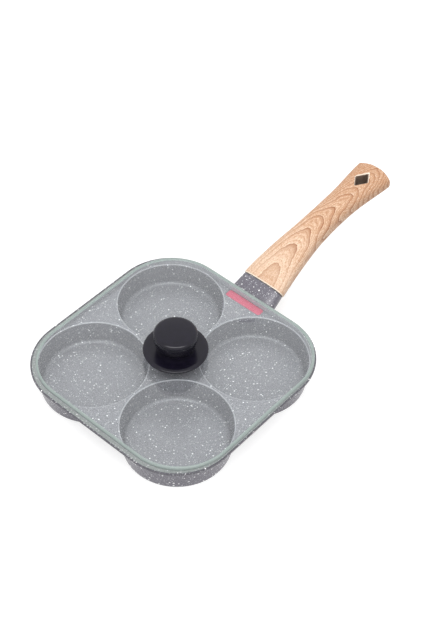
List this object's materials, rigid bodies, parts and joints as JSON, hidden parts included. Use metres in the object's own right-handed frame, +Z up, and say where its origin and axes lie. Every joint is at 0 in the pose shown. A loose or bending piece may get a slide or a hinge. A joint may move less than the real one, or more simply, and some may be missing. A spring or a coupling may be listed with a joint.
{
  "type": "four-cup egg pan with glass lid",
  "caption": "Square cast pan with round cups in a flat web, a flat glass lid with a black knob, and a long wood-look handle with a diamond hang hole.",
  "frame": {"origin": "centre of the bounding box in plan, on the plane of the cup bases", "axes": "+X along the handle away from the pan, +Z up out of the cups, +Y to the left of the handle seen from the pan"},
  "size_m": [0.3652, 0.1924, 0.0591],
  "materials": {
    "speckled_coating": "satin grey non-stick coating with light specks",
    "pink_inlay": "plain satin strip",
    "wood_look": "satin wood-grain film",
    "dark_plastic": "matt",
    "satin_black": "satin moulded",
    "clear_glass": "clear with a ground edge",
    "silicone": "matt",
    "zinc_steel": "zinc plated",
    "brass": "turned"
  },
  "bodies": {
    "pan": {"pan_body": "speckled_coating", "pan_label": "pink_inlay", "handle_collar": "speckled_coating", "handle_grip": "wood_look", "hang_hole_liner": "dark_plastic", "handle_screw": "zinc_steel", "handle_spring_washer": "zinc_steel"},
    "lid": {"lid_glass": "clear_glass", "knob_upper_gasket": "silicone", "knob_lower_gasket": "silicone", "knob_washer": "zinc_steel", "knob_screw": "zinc_steel", "knob_skirt": "satin_black", "knob_head": "satin_black", "knob_insert": "brass"}
  },
  "joints": [
    {"name": "lid_lift", "type": "slide", "parent": "pan", "child": "lid", "axis": [0, 0, 1], "range_m": [0, 0.12]}
  ]
}
